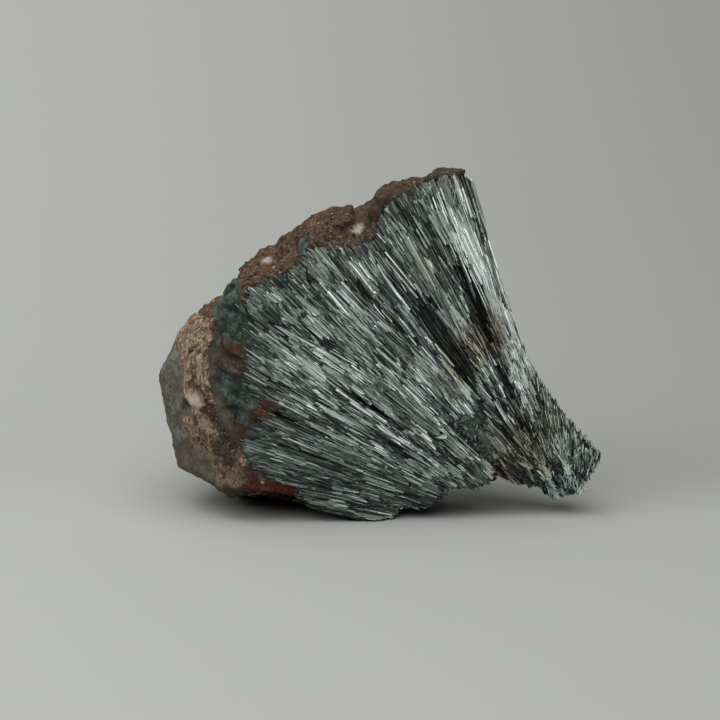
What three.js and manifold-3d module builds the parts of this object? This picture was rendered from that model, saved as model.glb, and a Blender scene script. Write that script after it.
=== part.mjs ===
// A pyrolusite specimen: one hand-sized wedge broken out of a radiating mass of needle crystals.
// Every needle points at one apex, just beyond the broken tip at the lower right. The wedge fans out
// from there to the upper left, where it ends in a lumpy, pitted brown rind. The front, the right
// flank and the back are splintery breaks that run along the needles, and the underside touches a
// table on three low spots. The whole specimen grew as one piece, so it is one solid.
//
// Millimetres. +X to the right, +Y to the back, +Z up, origin under the middle of the specimen.
import * as THREE from "three";
import { mergeVertices } from "three/addons/utils/BufferGeometryUtils.js";
import Module from "manifold-3d";

const wasm = await Module();
wasm.setup();

// ---- driving dimensions -------------------------------------------------------------------------

// The point that all needles point to. A place in the fan is a lift (degrees up from the floor, seen
// from the front, 0 to the left and 90 straight up), a turn (degrees towards the back) and a radius.
// The specimen is modelled around this point, and moved over the origin at the end.
const APEX = new THREE.Vector3(41.4, -18, -6.5);

// The wedge's outline on its front face: radius of the outer rim, and of the broken tip, over lift.
const FRONT_RIM = [
  [10, 67.5], [13, 66], [18, 70.5], [22, 77], [28, 82.5], [33, 86.3], [36, 87], [39, 85.8], [43.5, 81],
  [48, 80.4], [50, 79], [53, 74.6], [57, 73.8], [58.6, 77], [60, 78.5], [67, 79], [71, 77.8], [74, 78.8],
];
const TIP_RIM = [
  [9, 41], [10.5, 37.6], [14, 37.2], [17.5, 32.3], [21.5, 29.7], [26, 30.3], [33, 24.4], [37, 23.3],
  [43, 23], [46.5, 20], [60.5, 15.3], [63, 12.5], [75.5, 10.8], [86.5, 12.3], [94.5, 13.3], [100, 16.4],
  [103, 18],
];
// How far the rind bulges out halfway to the back, and where it ends at the back edge, over lift.
const RIND_CREST = [
  [6, 71.5], [7.6, 75.5], [9, 82], [12, 85.4], [17, 89], [22, 92], [26, 92.4], [28, 92.2], [31, 90.9],
  [33, 88.4], [36, 85.8], [41, 87.4], [45, 85.8], [50, 86.5], [53, 85.6], [55.5, 81.8], [58, 82.7],
  [61, 82.8], [64, 81.9], [70, 79.3], [73, 79.8],
];
const BACK_RIM = [[6, 70], [14, 80], [24, 86], [36, 82], [46, 83], [58, 77], [73, 72]];
// Lift of the right flank over radius: straight along the needles, then flaring out at the tip.
const FLANK_LIFT = [
  [18, 103], [20, 96], [23, 89], [26.7, 82.5], [30.8, 77.8], [34.3, 75], [45, 72.9], [79, 72.9],
];

const FLANK_CLOSING = 2.5;      // the flank closes in by this lift from front to back
const FRONT_TURN_LOW = -6;      // the front face leans out at the lower left ...
const FRONT_TURN_HIGH = 4;      // ... and back at the top
const BACK_TURN = 27;
const CREST_DEPTH = 0.42;       // share of the depth at which the rind bulges furthest

// Troughs where bundles have fallen out of the front face. Each follows one lift, is this wide
// either way (degrees) and deep (mm), and runs between two radii, fading over start and end.
const TROUGHS = [
  { lift: 60, width: 1.8, depth: 3.2, start: [34, 46], end: [66, 76] },
  { lift: 67.3, width: 1.7, depth: 4.2, start: [22, 36], end: [54, 66] },
  { lift: 54.5, width: 2.2, depth: 2.6, start: [20, 30], end: [44, 54] },
];
const MIDDLE_CROWN = 2;         // how far the middle of the front face stands out
const LOWER_SHEAF_DROP = 1.8;   // the sheaf under the long crack lies this much deeper
const FRONT_BUNDLES = { across: 2.6, from: 9, spread: 9, height: 1.5, seed: 3 };
const BACK_BUNDLES = { across: 5, from: 18, spread: 10, height: 3, seed: 9 };
const BACK_HOLLOW = 3.5;        // depth of the long hollow in the back
const FLANK_RIB = 1.1;
const TIP_RAGGEDNESS = 2.4;
// A broad flat crystal, half pulled out of the middle of the front face.
const PLANK = { lift: 39.6, radius: 36, length: 11.5, width: 2.8, thickness: 1.2, roll: 16, taper: 0.9 };

// The underside: a low arch that rises under the left end and under the front left edge.
const ARCH_HEIGHT = 1.7;
const LEFT_END_RISE = 7;
const FRONT_LEFT_RISE = 5.2;
const UNDERSIDE_WAVE = 0.7;
// Three low spots of the underside: centre, and how wide each is. They end in flats on the table.
const FEET = [
  { x: 3, y: -19, spread: 5 },
  { x: -26, y: 4, spread: 7 },
  { x: 1, y: -2, spread: 6.5 },
];
const FOOT_DEPTH = 2.9;         // how far a low spot reaches down from the arched underside

// The rind: coarse and fine unevenness, its knobs and pits, and how much lower the smooth facet at
// the far left lies.
const RIND_LUMP = { height: 1.5, size: 9 };
const RIND_GRAIN = { height: 1.1, size: 4.5 };
const KNOBS = { count: 16, seed: 40, size: [3.5, 7.5] };
const PITS = { count: 9, seed: 60, size: [1.4, 3] };
const SCALED_OFF_DROP = 1.1;

const SWEEP_CELLS = 34;         // columns of facets, from the right flank to the underside
const LENGTH_CELLS = 7;         // rows of facets, from the tip to the rind
const DEPTH_CELLS = 9;          // rows of facets, from front to back
const FACET_JITTER = 0.7;       // how far a facet's corner strays, in cells

// ---- small tools --------------------------------------------------------------------------------

const { lerp, clamp, smoothstep, degToRad, radToDeg } = THREE.MathUtils;
const bell = (t) => Math.exp(-t * t);
const fadeOut = (t, from, to) => 1 - smoothstep(t, from, to);

// The value of a [key, value] table at a key, on straight lines between its rows.
function along(table, key) {
  const next = table.findIndex((row) => row[0] > key);
  if (next === 0) return table[0][1];
  if (next < 0) return table.at(-1)[1];
  const [k0, v0] = table[next - 1];
  const [k1, v1] = table[next];
  return lerp(v0, v1, (key - k0) / (k1 - k0));
}

// A repeatable pseudo-random number from 0 to 1 for three whole numbers.
function chance(i, j = 0, k = 0) {
  let h = Math.imul(i + 101, 374761393) ^ Math.imul(j + 57, 668265263) ^ Math.imul(k + 23, 1442695041);
  h = Math.imul(h ^ (h >>> 13), 1274126177);
  h ^= h >>> 16;
  return (h >>> 0) / 4294967296;
}

// Smooth noise from -1 to 1 that changes over about one unit.
function noise(x, y, z) {
  const [i, j, k] = [x, y, z].map(Math.floor);
  const [a, b, c] = [x - i, y - j, z - k].map((t) => t * t * (3 - 2 * t));
  const row = (dj, dk) => lerp(chance(i, j + dj, k + dk), chance(i + 1, j + dj, k + dk), a);
  return 2 * lerp(lerp(row(0, 0), row(1, 0), b), lerp(row(0, 1), row(1, 1), b), c) - 1;
}

// A place in the fan as a point in space.
function place(lift, turn, radius) {
  const [a, b] = [degToRad(lift), degToRad(turn)];
  return new THREE.Vector3(-Math.cos(a) * Math.cos(b), Math.sin(b), Math.sin(a) * Math.cos(b))
    .multiplyScalar(radius)
    .add(APEX);
}

// A length across the needles as an angle seen from the apex, in degrees.
const asAngle = (length, radius) => radToDeg(length / radius);

// ---- the faces of the wedge ---------------------------------------------------------------------

// Height of the underside above the table, with the three feet reaching down through its plane.
function undersideHeight(x, y) {
  const leftEnd = LEFT_END_RISE * smoothstep(-x, 27, 44);
  const frontLeft = FRONT_LEFT_RISE * smoothstep(-x, 0, 22) * smoothstep(-y, 6, 22);
  const feet = FEET.map((foot) => bell(Math.hypot(x - foot.x, y - foot.y) / foot.spread));
  const wave = UNDERSIDE_WAVE * noise(x / 7, y / 7, 5);
  return ARCH_HEIGHT + leftEnd + frontLeft + wave - FOOT_DEPTH * Math.max(...feet);
}

// The lift at which a ray of this turn and radius meets the underside.
function undersideLift(turn, radius) {
  const reach = Math.max(radius, TIP_RIM[1][1]) * Math.cos(degToRad(turn));
  const x = APEX.x - 0.985 * reach;       // the underside lies about 10 degrees up, and this is cos 10
  const height = undersideHeight(x, APEX.y + radius * Math.sin(degToRad(turn)));
  return radToDeg(Math.asin(clamp((height - APEX.z) / reach, -1, 1)));
}

// How far the rind stands from the apex, from the front edge (depth 0) to the back edge (depth 1).
function rindRadius(lift, depth) {
  const crest = along(RIND_CREST, lift);
  return depth < CREST_DEPTH
    ? lerp(along(FRONT_RIM, lift), crest, smoothstep(depth, -0.1, CREST_DEPTH))
    : lerp(crest, along(BACK_RIM, lift), ((depth - CREST_DEPTH) / (1 - CREST_DEPTH)) ** 2);
}

// Height of a stepped bundle: the face is split across the needles every few degrees of lift, and
// each bundle is split along its length, every piece a little higher or lower than the next.
function steppedBundle(lift, radius, { across, from, spread, height, seed }) {
  const bundle = Math.floor(lift / across + noise(lift / (2 * across), seed, 3));
  const stepLength = from + spread * chance(bundle, seed, 7);
  const step = Math.floor(radius / stepLength + 10 * chance(bundle, seed, 1));
  return height * (chance(bundle, step, seed) - 0.5);
}

// Relief of the front face, in mm towards the viewer: a crowned middle panel, the troughs, a lower
// sheaf that lies one ledge deeper, and stepped bundles.
function frontRelief(lift, radius) {
  const troughs = TROUGHS.map(({ lift: middle, width, depth, start, end }) =>
    depth * bell((lift - middle) / width) * smoothstep(radius, ...start) * fadeOut(radius, ...end));
  const crown = MIDDLE_CROWN * bell((lift - 45) / 12) * smoothstep(radius, 20, 45);
  const crackLift = 12.5 + radius / 6;
  const sheaf = LOWER_SHEAF_DROP * fadeOut(lift, crackLift - 1.5, crackLift + 1.5);
  return crown - troughs.reduce((a, b) => a + b) - sheaf + steppedBundle(lift, radius, FRONT_BUNDLES);
}

// Relief of the back, in mm backwards: a rougher break with broad bundles and one long hollow.
function backRelief(lift, radius) {
  const hollow = BACK_HOLLOW * bell((lift - 40) / 9) * smoothstep(radius, 35, 60);
  return steppedBundle(lift, radius, BACK_BUNDLES) - hollow;
}

// The right flank runs along the needles, with shallow ribs.
const flankRelief = (turn, radius) => FLANK_RIB * noise(turn / 3.2, radius / 30, 11);

// Share of a smooth grey facet at the far left, where the rind has scaled off.
const scaledOff = (lift, depth) => smoothstep(depth, 0.26, 0.32) * fadeOut(lift, 27, 31);

// Lumps and hollows of the rind, in mm outwards. The smooth facet lies a step lower.
function rindRelief(p, lift, depth) {
  const [lumps, grains] = [RIND_LUMP, RIND_GRAIN].map(({ height, size }) =>
    height * noise(p.x / size, p.y / size, p.z / size));
  const rough = lumps + grains;
  return lerp(rough, 0.3 * rough - SCALED_OFF_DROP, scaledOff(lift, depth));
}

// The ragged break at the tip: needles end at different lengths.
const tipRelief = (lift, turn) => TIP_RAGGEDNESS * noise(lift / 2.1, turn / 4, 17);

const frontTurn = (lift) => lerp(FRONT_TURN_LOW, FRONT_TURN_HIGH, smoothstep(lift, 20, 73));

// Where a point of a unit block lands on the specimen. sweep: 0 at the right flank, 1 at the
// underside. length: 0 at the tip, 1 at the rind. depth: 0 at the front, 1 at the back.
function shape(sweep, length, depth) {
  const [onFlankFace, onTip, onRind] = [sweep < 0.001, length < 0.001, length > 0.999];
  const [onFrontFace, onBackFace] = [depth < 0.001, depth > 0.999];
  const awayFromEdges = (t) => smoothstep(t, 0, 0.04) * fadeOut(t, 0.96, 1);
  const [i, j, k] = [sweep, length, depth].map((t) => Math.round(t * 1000));
  const stray = (t, cells, n) =>
    t + (FACET_JITTER * awayFromEdges(t) * (chance(i + 7 * n, j, k) - 0.5)) / cells;
  if (onRind) {
    sweep = stray(sweep, SWEEP_CELLS, 1);
    depth = stray(depth, DEPTH_CELLS, 2);
  } else {
    length = stray(length, LENGTH_CELLS, 3) ** 1.25;
  }
  // The right flank flares out at the tip; the needles further left stay straight.
  const flankShare = (1 - sweep) ** 5;
  const flankRadius = lerp(FLANK_LIFT[0][0], FLANK_LIFT.at(-1)[0], length);
  const straight = FLANK_LIFT.at(-1)[1];
  const flare = (along(FLANK_LIFT, flankRadius) - straight) * flankShare;
  let radius = flankRadius;
  let lift;
  let turn;
  // The outline tables give the radius over the lift, and the underside gives the lift over the
  // radius, so the two are settled against each other.
  for (let pass = 0; pass < 6; pass++) {
    const low = undersideLift(lerp(FRONT_TURN_LOW, BACK_TURN, depth), radius);
    lift = lerp(straight - FLANK_CLOSING * depth, low, sweep) + flare;
    turn = lerp(frontTurn(lift), BACK_TURN, depth);
    radius = lerp(along(TIP_RIM, lift), rindRadius(lift, depth), length);
    radius = lerp(radius, Math.min(flankRadius, rindRadius(straight, depth)), flankShare);
  }
  if (onFrontFace) turn -= awayFromEdges(sweep) * asAngle(frontRelief(lift, radius), radius);
  if (onBackFace) turn += awayFromEdges(sweep) * asAngle(backRelief(lift, radius), radius);
  if (onFlankFace) lift += awayFromEdges(depth) * asAngle(flankRelief(turn, radius), radius);
  if (onTip) radius += tipRelief(lift, turn);
  const p = place(lift, turn, radius);
  if (onRind) p.addScaledVector(place(lift, turn, 1).sub(APEX), rindRelief(p, lift, depth));
  return p;
}

// ---- solids -------------------------------------------------------------------------------------

// A geometry with nothing but positions, its shared vertices merged.
function merged(geometry) {
  geometry.deleteAttribute("normal");
  geometry.deleteAttribute("uv");
  return mergeVertices(geometry, 1e-4);
}

function solid(geometry) {
  return new wasm.Manifold(
    new wasm.Mesh({
      numProp: 3,
      vertProperties: new Float32Array(geometry.attributes.position.array),
      triVerts: new Uint32Array(geometry.index.array),
    }),
  );
}

// Moves each corner of a geometry to where(x, y, z, i).
function reshape(geometry, where) {
  const at = geometry.attributes.position;
  for (let i = 0; i < at.count; i++) {
    const p = where(at.getX(i), at.getY(i), at.getZ(i), i);
    at.setXYZ(i, p.x, p.y, p.z);
  }
  return geometry;
}

function wedge() {
  const block = merged(new THREE.BoxGeometry(1, 1, 1, SWEEP_CELLS, LENGTH_CELLS, DEPTH_CELLS));
  return solid(reshape(block, (x, y, z) => shape(0.5 - x, y + 0.5, 0.5 - z)));
}

// One needle crystal or a tight bundle of them: a long four-sided blade that widens away from the
// apex. taper is the share of its width left at the inner end; the outer end is broken askew.
function blade({ lift, turn, radius, length, width, thickness, roll, taper }) {
  const shaft = reshape(merged(new THREE.BoxGeometry(1, 1, 1)), (x, y, z) => {
    const outer = y > 0;
    const waist = outer ? 1 : taper;
    const askew = outer ? 0.4 * width * Math.sign(x) : 0;
    return { x: x * width * waist, y: (outer ? length : 0) + askew, z: z * thickness * waist };
  });
  const foot = place(lift, turn, radius);
  const outward = foot.clone().sub(APEX).normalize();
  const across = new THREE.Vector3(0, 1, 0).cross(outward).normalize();
  shaft.applyMatrix4(new THREE.Matrix4().makeRotationY(degToRad(roll)));
  shaft.applyMatrix4(new THREE.Matrix4().makeBasis(across, outward, across.clone().cross(outward)));
  shaft.translate(foot.x, foot.y, foot.z);
  return solid(shaft);
}

// Blades on one face of the wedge. where(u, start) gives the place on that face for a share u across
// it and a share start of the way from tip to rind, and rim is how far out the blades may go.
function blades({ where, count, seed, start, length, width, rim = FRONT_RIM, taper = 0.35 }) {
  return Array.from({ length: count }, (_, n) => {
    const pick = (k) => chance(n, k, seed);
    const spot = where((n + pick(2)) / count, lerp(...start, pick(1) ** 0.6));
    return blade({
      ...spot,
      length: Math.min(lerp(...length, pick(3) ** 2), along(rim, spot.lift) - 3 - spot.radius),
      width: lerp(...width, pick(4)),
      thickness: lerp(0.9, 1.7, pick(5)),
      roll: lerp(-40, 40, pick(6)),
      taper,
    });
  });
}

// Spreads the running share u evenly over a face, with neighbours in the list far apart.
const scatter = (u, from, to, hops) => lerp(from, to, (u * hops) % 1);
const radiusAt = (lift, start) => lerp(along(TIP_RIM, lift), along(FRONT_RIM, lift), start);
const frontSurfaceTurn = (lift, radius) => frontTurn(lift) - asAngle(frontRelief(lift, radius) + 0.1, radius);

function onFront(u, start) {
  const lift = scatter(u, 71, 12, 7.37);
  const radius = radiusAt(lift, start);
  return { lift, turn: frontSurfaceTurn(lift, radius + 6), radius };
}
function onFlank(u, start) {
  const radius = radiusAt(72, start);
  return { lift: along(FLANK_LIFT, radius + 12) - 0.6, turn: scatter(u, 2, 25, 5.31), radius };
}
function onBack(u, start) {
  const lift = scatter(u, 70, 16, 6.13);
  const radius = radiusAt(lift, start);
  return { lift, turn: BACK_TURN + asAngle(backRelief(lift, radius + 8), radius + 8), radius };
}
function onUnderside(u, start) {
  const turn = scatter(u, -2, 24, 3.71);
  const radius = radiusAt(12, start);
  return { lift: undersideLift(turn, radius + 10) + 0.3, turn, radius };
}
function atTip(u) {
  const lift = lerp(98, 14, u);
  const pick = (k) => chance(Math.round(u * 1e4), k);
  return { lift, turn: lerp(0, 22, pick(3)), radius: along(TIP_RIM, lift) - lerp(-0.6, 1.3, pick(4)) };
}

// A jittered ball, flattened along its ray: a knob of the rind, or the tool that cuts a pit. sink is
// how far its middle lies below the rind.
function lump(lift, depth, size, sink, seed) {
  const ball = reshape(merged(new THREE.IcosahedronGeometry(size, 1)), (x, y, z, i) => {
    const swell = 1 + 0.5 * (chance(i, seed, 8) - 0.5);
    return { x: x * swell, y: y * swell * 0.7, z: z * swell };
  });
  const turn = lerp(frontTurn(lift), BACK_TURN, depth);
  const centre = place(lift, turn, rindRadius(lift, depth) - sink);
  const outward = centre.clone().sub(APEX).normalize();
  ball.applyQuaternion(new THREE.Quaternion().setFromUnitVectors(new THREE.Vector3(0, 1, 0), outward));
  ball.translate(centre.x, centre.y, centre.z);
  return solid(ball);
}

// Spreads things over the rind: make(lift, depth, size, n) for each of them.
function overRind({ count, seed, size }, make) {
  return Array.from({ length: count }, (_, n) => {
    const lift = lerp(70, 14, (n + chance(n, 1, seed)) / count);
    return make(lift, lerp(0.08, 0.92, chance(n, 2, seed)), lerp(...size, chance(n, 9)), n);
  });
}

// Knobs stand out by part of their size, and none shows on the smooth facet.
const knobs = overRind(KNOBS, (lift, depth, size, n) =>
  lump(lift, depth, size, lerp(0.6, 1.3, scaledOff(lift, depth)) * size, n));
const pits = overRind(PITS, (lift, depth, size, n) => lump(lift, depth, size, -0.5, n));

const crystals = [
  { where: onFront, count: 66, seed: 1, start: [0.02, 0.8], length: [10, 30], width: [1, 2.4] },
  { where: onFlank, count: 14, seed: 2, start: [0.2, 0.7], length: [12, 26], width: [1, 1.6] },
  { where: onBack, count: 22, seed: 3, start: [0.05, 0.7], length: [12, 30], width: [1.4, 3], rim: BACK_RIM },
  { where: onUnderside, count: 10, seed: 5, start: [0, 0.6], length: [10, 24], width: [1.4, 2.6] },
  { where: atTip, count: 18, seed: 4, start: [0, 0], length: [4, 8], width: [2.2, 3.6], taper: 0.8 },
].flatMap(blades);
const plank = blade({ turn: frontSurfaceTurn(PLANK.lift, PLANK.radius + PLANK.length / 2), ...PLANK });

// Everything below the table's plane is cut away, which leaves the flats of the three feet.
const underTable = solid(merged(new THREE.BoxGeometry(200, 200, 40).translate(0, 0, -20)));

let stone = wedge();
for (const piece of [...knobs, ...crystals, plank]) stone = stone.add(piece);
for (const pit of pits) stone = stone.subtract(pit);
stone = stone.subtract(underTable);
const [body] = stone.decompose().sort((a, b) => b.volume() - a.volume());   // loose chips fall away

// ---- the group ----------------------------------------------------------------------------------

// The solid as a geometry, moved sideways so that the origin lies under the middle of its box.
function centred(manifold) {
  const mesh = manifold.getMesh();
  const geometry = new THREE.BufferGeometry();
  geometry.setAttribute("position", new THREE.BufferAttribute(mesh.vertProperties, 3));
  geometry.setIndex(new THREE.BufferAttribute(mesh.triVerts, 1));
  geometry.computeBoundingBox();
  const middle = geometry.boundingBox.getCenter(new THREE.Vector3());
  geometry.translate(-middle.x, -middle.y, 0);
  geometry.computeVertexNormals();
  return geometry;
}

const specimen = new THREE.Mesh(
  centred(body),
  new THREE.MeshStandardMaterial({ color: 0x56605e, roughness: 0.45, metalness: 0.6, flatShading: true }),
);
specimen.name = "specimen";

const group = new THREE.Group();
group.add(specimen);
export default group;
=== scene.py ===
"""Dresses a pyrolusite specimen: a wedge of radiating needle crystals under a pitted brown rind."""
import math

import bpy
import numpy as np
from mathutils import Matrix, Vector
from mathutils.bvhtree import BVHTree


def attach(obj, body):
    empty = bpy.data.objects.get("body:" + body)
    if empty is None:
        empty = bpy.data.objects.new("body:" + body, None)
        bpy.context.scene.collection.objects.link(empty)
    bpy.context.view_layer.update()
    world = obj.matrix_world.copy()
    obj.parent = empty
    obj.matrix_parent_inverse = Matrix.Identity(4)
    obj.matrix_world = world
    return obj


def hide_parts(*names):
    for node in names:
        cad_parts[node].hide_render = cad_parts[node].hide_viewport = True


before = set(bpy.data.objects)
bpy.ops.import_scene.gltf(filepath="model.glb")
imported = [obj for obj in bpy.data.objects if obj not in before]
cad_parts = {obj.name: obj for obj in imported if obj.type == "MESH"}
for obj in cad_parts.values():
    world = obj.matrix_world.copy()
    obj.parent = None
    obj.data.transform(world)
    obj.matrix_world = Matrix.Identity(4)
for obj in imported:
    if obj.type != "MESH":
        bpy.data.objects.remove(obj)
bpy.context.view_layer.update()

bl_info = {
    "name": "Pyrolusite specimen",
    "version": (1, 0, 0),
    "blender": (4, 5, 0),
    "location": "3D View > Sidebar > Specimen",
    "description": "Builds a fan of radiating needle crystals with a brown rind",
    "category": "Add Mesh",
}

MM = 0.001
# The point that every needle points to, in millimetres.
APEX = np.array((39.550, -15.513, -6.5))


# ---- numbers over space ----

def fan_of(points):
    """Lift and turn in degrees, and radius in millimetres, of points seen from the apex."""
    ray = points - APEX
    radius = np.linalg.norm(ray, axis=1)
    lift = np.degrees(np.arctan2(ray[:, 2], -ray[:, 0]))
    turn = np.degrees(np.arcsin(ray[:, 1] / radius))
    return lift, turn, radius


def fan_ray(lift, turn):
    """Unit vectors from the apex for lifts and turns in degrees."""
    a, b = np.radians(lift), np.radians(turn)
    return np.stack((-np.cos(a) * np.cos(b), np.sin(b), np.sin(a) * np.cos(b)), axis=-1)


def smoothstep(t, low, high):
    """0 below low, 1 above high, smooth in between."""
    t = np.clip((t - low) / (high - low), 0, 1)
    return t * t * (3 - 2 * t)


def bell(t):
    """1 at 0, falling smoothly to 0 on both sides."""
    return np.exp(-t * t)


def mix(a, b, share):
    """The first value where share is 0 and the second where it is 1."""
    return a + (b - a) * share


def along(table, keys):
    """Values of a [key, value] table, on straight lines between its rows."""
    return np.interp(keys, *np.array(table, dtype=float).T)


def unit(vectors):
    return vectors / np.maximum(np.linalg.norm(vectors, axis=-1, keepdims=True), 1e-12)


def chance(i, j, k):
    """Repeatable numbers from 0 to 1 for whole numbers."""
    h = (i * 374761393 + j * 668265263 + k * 1442695041) & 0xFFFFFFFF
    h = ((h ^ (h >> 13)) * 1274126177) & 0xFFFFFFFF
    return ((h ^ (h >> 16)) & 0xFFFFFF) / 0xFFFFFF


def noise(points):
    """Smooth noise from -1 to 1 that changes over about one unit."""
    cell = np.floor(points).astype(np.int64)
    f = points - cell
    f = f * f * (3 - 2 * f)
    total = 0
    for di in (0, 1):
        for dj in (0, 1):
            for dk in (0, 1):
                weight = (abs(1 - di - f[:, 0]) * abs(1 - dj - f[:, 1]) * abs(1 - dk - f[:, 2]))
                total = total + weight * chance(cell[:, 0] + di, cell[:, 1] + dj, cell[:, 2] + dk)
    return 2 * total - 1


def pits(points):
    """0 at the middle of scattered pits and 1 away from them; cells are one unit wide."""
    cell = np.floor(points).astype(np.int64)
    nearest = np.full(len(points), 9.0)
    for di in (-1, 0, 1):
        for dj in (-1, 0, 1):
            for dk in (-1, 0, 1):
                i, j, k = cell[:, 0] + di, cell[:, 1] + dj, cell[:, 2] + dk
                centre = np.stack((i + chance(i, j, k), j + chance(j, k, i), k + chance(k, i, j)), axis=1)
                nearest = np.minimum(nearest, np.linalg.norm(points - centre, axis=1))
    return np.clip(nearest, 0, 1)


# ---- the stone's outline seen from the apex ----

class Outline:
    """How far from the apex a ray enters the stone and leaves it through the rind, in millimetres."""

    STEP = 1.0
    LIFTS = np.arange(-6, 112, STEP)
    TURNS = np.arange(-18, 38, STEP)
    FAR = 200.0

    def __init__(self, node):
        places = [v.co / MM for v in node.data.vertices]
        self.tree = BVHTree.FromPolygons(places, [tuple(p.vertices) for p in node.data.polygons])
        apex = Vector(APEX)
        shape = (len(self.LIFTS), len(self.TURNS))
        near, far = np.full(shape, np.nan), np.full(shape, np.nan)
        self.met = np.zeros(shape)
        for i, lift in enumerate(self.LIFTS):
            for j, turn in enumerate(self.TURNS):
                ray = Vector(fan_ray(lift, turn))
                *_, back_to_stone = self.tree.ray_cast(apex + ray * self.FAR, -ray)
                if back_to_stone is not None:
                    far[i, j] = self.FAR - back_to_stone
                    *_, near[i, j] = self.tree.ray_cast(apex, ray)
                    self.met[i, j] = 1
        self.near, self.far = self.spread(near), self.spread(far)

    @staticmethod
    def spread(table):
        """Fills the rays that miss the stone from their neighbours that meet it."""
        while np.isnan(table).any():
            padded = np.pad(table, 1, constant_values=np.nan)
            rows, columns = table.shape
            around = np.stack([padded[a:rows + a, b:columns + b] for a in range(3) for b in range(3)])
            known = ~np.isnan(around)
            mean = np.where(known, around, 0).sum(0) / np.maximum(known.sum(0), 1)
            table = np.where(np.isnan(table) & known.any(0), mean, table)
        return table

    def at(self, table, lift, turn):
        """Values of one of the tables, on straight lines between its rays."""
        i = np.clip((lift - self.LIFTS[0]) / self.STEP, 0, len(self.LIFTS) - 1.001)
        j = np.clip((turn - self.TURNS[0]) / self.STEP, 0, len(self.TURNS) - 1.001)
        i0, j0 = i.astype(int), j.astype(int)
        a, b = i - i0, j - j0
        low = mix(table[i0, j0], table[i0 + 1, j0], a)
        high = mix(table[i0, j0 + 1], table[i0 + 1, j0 + 1], a)
        return mix(low, high, b)

    def above(self, points):
        """How far points lie outside the stone, in millimetres; less than 0 inside it."""
        found = [self.tree.find_nearest(point) for point in points]
        spots = np.array([spot for spot, *_ in found])
        normals = np.array([normal for _, normal, *_ in found])
        return np.sum((points - spots) * normals, axis=1)


# ---- shader maths ----

class Value:
    """A shader socket that takes part in arithmetic."""

    def __init__(self, finish, socket):
        self.finish = finish
        self.socket = socket

    def maths(self, operation, *values, clamp=False):
        return self.finish.node("ShaderNodeMath", {"operation": operation, "use_clamp": clamp}, values)

    def __add__(self, other):
        return self.maths("ADD", self, other)

    def __sub__(self, other):
        return self.maths("SUBTRACT", self, other)

    def __rsub__(self, other):
        return self.maths("SUBTRACT", other, self)

    def __mul__(self, other):
        return self.maths("MULTIPLY", self, other)

    def __truediv__(self, other):
        return self.maths("DIVIDE", self, other)

    __radd__ = __add__
    __rmul__ = __mul__

    def clamped(self):
        return self.maths("ADD", self, 0.0, clamp=True)

    def between(self, low, high):
        """0 below low, 1 above high, smooth in between."""
        settings = {"interpolation_type": "SMOOTHSTEP"}
        return self.finish.node("ShaderNodeMapRange", settings, {0: self, 1: low, 2: high, 3: 0.0, 4: 1.0})


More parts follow.
